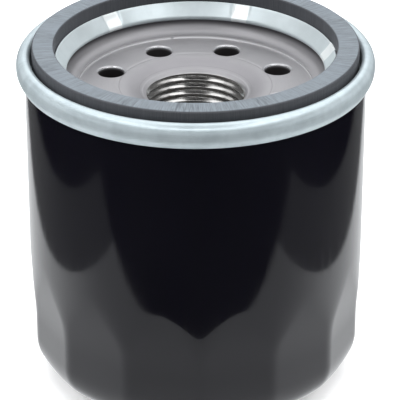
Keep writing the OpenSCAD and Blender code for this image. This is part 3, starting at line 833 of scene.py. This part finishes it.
def make_bypass_cage():
    """A pressed cup, upside down on the seat, with four windows in its wall."""
    wall_r, columns = 7.8, 160
    path = [(9.3, CAGE_Z + 0.2)] + arc(wall_r + 0.5, CAGE_Z + 0.7, 0.5, -90, -180, 5)
    path += line((wall_r, CAGE_Z + 1.2), (wall_r, CAGE_TOP - 1.0), 0.4)
    path += arc(wall_r - 0.8, CAGE_TOP - 0.8, 0.8, 0, 90, 6)
    path += line((6.4, CAGE_TOP), (3.2, CAGE_TOP), 0.5)
    path += arc(2.5, CAGE_TOP - 0.6, 0.6, 90, 180, 5) + [(1.9, CAGE_TOP - 1.6)]
    rows = len(path)
    turns = np.arange(columns) * math.tau / columns
    points = [(r * math.cos(t), r * math.sin(t), z) for t in turns for r, z in path]
    window_low, window_high, window_half = CAGE_Z + 1.6, CAGE_TOP - 2.4, math.radians(25.5)
    faces = []
    for c in range(columns):
        d = (c + 1) % columns
        at = (turns[c] + math.pi / columns) % (math.pi / 2) - math.pi / 4
        for i in range(rows - 1):
            z = (path[i][1] + path[i + 1][1]) / 2
            if window_low < z < window_high and abs(at) < window_half:
                continue
            faces.append((c * rows + i, d * rows + i, d * rows + i + 1, c * rows + i + 1))
    cage = piece("bypass_cage_shell", points, faces, TINPLATE, "element", "bypass_cage",
                 "tinned_steel", sharp=35)
    thick = cage.modifiers.new("thickness", "SOLIDIFY")
    thick.thickness, thick.offset = 0.38 * MM, 0


def make_bypass_poppet():
    plate, groove = POPPET_PLATE_Z, 0.16
    outline = rounded([(0, POPPET_Z), (3.1, POPPET_Z, 0.15), (3.1, plate, 0.05), (6.6, plate, 0.15),
                       (6.6, plate + 0.8, 0.25), (3.5, plate + 0.8, 0.2), (3.1, plate + 1.8, 0.3),
                       (1.62, plate + 2.3, 0.3), (1.62, POPPET_TOP, 0.4), (0, POPPET_TOP)])

    def grooved(angle, r, z):
        """Four shallow grooves run along the stem."""
        stem = (z > plate + 2.4) & (r > 1.2) & (r < 1.7)
        return r - np.where(stem, groove * ease((np.cos(4 * angle) - 0.6) / 0.4), 0), z

    turned_piece("bypass_poppet_body", outline, NYLON, "bypass_valve", "bypass_poppet",
                 "poppet_nylon", columns=96, shape=grooved, sharp=45)


def make_bypass_coil():
    """The spring from the poppet's plate up to the cage's top, closer wound at its ends."""
    wire_r, coil_r, turns, gap = 0.4, 4.6, 5, 0.02
    low, high = POPPET_PLATE_Z + 0.8 + wire_r + gap, CAGE_TOP - 0.2 - wire_r - gap
    share = np.linspace(0, 1, 161)
    angle = math.tau * turns * share
    rise = ease(0.5 + (share - 0.5) * 0.98) * 0.25 + share * 0.75
    rise = (rise - rise[0]) / (rise[-1] - rise[0])
    path = np.stack([coil_r * np.cos(angle), coil_r * np.sin(angle), low + (high - low) * rise],
                    axis=1)
    points, faces = tube(path, wire_r, 12)
    spring = piece("bypass_coil", points, faces, SPRING, None, "bypass_spring", "spring_steel")
    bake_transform(spring)


def make_element_spring():
    """Conical spring: a flat turn on the can, a rising coil, and a flat turn under the element."""
    wire, turns, flat = 1.4, 2.75, 0.5
    low, high = SHEET + wire / 2 + 0.02, ELEMENT_Z - wire / 2 - 0.02
    share = np.linspace(0, 1, 160)
    rise = ease((share * turns - flat) / (turns - 2 * flat)) * 0.3 + 0.7 * np.clip(
        (share * turns - flat) / (turns - 2 * flat), 0, 1)
    angle = math.tau * turns * share
    r = 16 - 4 * share
    path = np.stack([r * np.cos(angle), r * np.sin(angle), low + (high - low) * rise], axis=1)
    points, faces = tube(path, wire / 2, 16)
    spring = piece("element_coil", points, faces, SPRING, None, "element_spring", "spring_steel")
    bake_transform(spring)


def paint(node, material):
    """Gives a CAD node whose shape is already right its finish."""
    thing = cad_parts[node]
    thing.data.materials.clear()
    thing.data.materials.append(material)


make_can()
make_cover()
make_gasket()
make_base_plate()
make_drainback()
make_top_cap()
make_bottom_cap()
make_paper()
make_centre_tube()
make_bypass_seat()
make_bypass_cage()
make_bypass_poppet()
make_bypass_coil()
make_element_spring()
for node_name, finish in (("seam_sealant", COMPOUND), ("cover_welds", WELD),
                          ("top_adhesive", PLASTISOL), ("bottom_adhesive", PLASTISOL),
                          ("pleat_clip", TINPLATE), ("bypass_seal", SEAL_RUBBER)):
    paint(node_name, finish)


# ---------------------------------------------------------------- studio

def floor_white():
    """A plain matt white that shines a little, so that the floor stays white in the shade."""
    white = (0.94, 0.94, 0.94)
    return Finish("floor_white", base_color=white, roughness=0.9, specular_ior_level=0.0,
                  emission_color=white, emission_strength=0.25).material


def flat_card(name, corners, z, material):
    """A level card, in millimetres, that belongs to the studio."""
    mesh = bpy.data.meshes.new(name)
    points = np.array([(x, y, z) for x, y in corners]) * MM
    mesh.from_pydata(points.tolist(), [], [tuple(range(len(corners)))])
    mesh.materials.append(material)
    card = bpy.data.objects.new(name, mesh)
    bpy.context.scene.collection.objects.link(card)
    return card


def mirror_card(name, low, high, z, glow, front_glow=None):
    """A level rectangle that only reflections see, as a photographer's cards are kept out of shot.

    With front_glow, its glow fades to that between the filter's axis and fade_end: a painted shadow of
    the filter on the card."""
    fade_end = -60
    f = Finish(name, base_color=(0.0, 0.0, 0.0), specular_ior_level=0.0,
               emission_color=(0.96, 0.98, 1.0), emission_strength=glow)
    if front_glow is not None:
        y = f.split(f.place)[1]
        f.set("emission_strength", f.stretch(y, fade_end * MM, 0.0, front_glow, glow))
    card = flat_card(name, [low, (high[0], low[1]), high, (low[0], high[1])], z, f.material)
    card.visible_camera = card.visible_diffuse = card.visible_shadow = False
    card.visible_transmission = card.visible_volume_scatter = False


def area_light(name, place, size, power):
    """A soft rectangular light that points at the filter. Reflections don't show it."""
    data = bpy.data.lights.new(name, "AREA")
    data.shape = "RECTANGLE"
    data.size, data.size_y = size
    data.energy = power
    light = bpy.data.objects.new(name, data)
    light.location = place
    aim = Vector((0, 0, 0.05)) - Vector(place)
    light.rotation_mode = "QUATERNION"
    light.rotation_quaternion = aim.to_track_quat("-Z", "Y")
    light.visible_camera = light.visible_glossy = False
    bpy.context.scene.collection.objects.link(light)


far, floor_half = 1500, 4000
flat_card("floor", [(-floor_half, -floor_half), (floor_half, -floor_half),
                    (floor_half, floor_half), (-floor_half, floor_half)], -0.03, floor_white())
# In reflections the filter stands on a pale sheet on a dark table, in a dark room, with two
# softboxes under a dark ceiling and a small black card above its front.
sheet_half, table_half, front_edge, box_height = 80, 120, -70, 600
mirror_card("dark_room", (-far, -far), (far, far), 0.2, 0.0)
mirror_card("dark_table", (-table_half, front_edge), (table_half, far), 0.25, 0.12)
# The pale sheet's glow is dimmer in front of the filter: a painted shadow of the filter.
mirror_card("pale_sheet", (-sheet_half, front_edge), (sheet_half, far), 0.3, 0.8, 0.4)
mirror_card("dark_ceiling", (-far, -far), (far, far), box_height + 10, 0.1)
mirror_card("front_softbox", (-450, -600), (450, 0), box_height, 2.4)
mirror_card("back_softbox", (-600, 0), (600, far), box_height, 1.4)
mirror_card("black_card", (-50, -100), (50, 0), 200, 0.0)

world = bpy.data.worlds.new("studio")
world.use_nodes = True
world.node_tree.nodes["Background"].inputs["Color"].default_value = (0.93, 0.96, 1.0, 1)
world.node_tree.nodes["Background"].inputs["Strength"].default_value = 0.45
bpy.context.scene.world = world
area_light("back_light", (0.0, 0.15, 1.15), (1.3, 0.8), 13.0)
area_light("left_light", (-0.9, 0.0, 0.6), (0.5, 0.8), 9.0)
area_light("right_light", (0.9, 0.1, 0.6), (0.5, 0.8), 9.0)
bpy.context.scene.view_settings.view_transform = "Standard"

# The camera looks down at 27 degrees from about half a metre, as the photographer's did.
ELEVATION, DISTANCE, AIM_Z = math.radians(27.12), 0.4909, 35.06 * MM
camera_data = bpy.data.cameras.new("camera")
camera_data.sensor_width = 36
camera_data.lens = 226.7
camera_data.shift_x = 0.011
camera = bpy.data.objects.new("camera", camera_data)
back = Vector((0, -math.cos(ELEVATION), math.sin(ELEVATION)))
camera.location = Vector((0, 0, AIM_Z)) + back * DISTANCE
camera.rotation_mode = "QUATERNION"
camera.rotation_quaternion = (-back).to_track_quat("-Z", "Y")
bpy.context.scene.collection.objects.link(camera)
bpy.context.scene.camera = camera
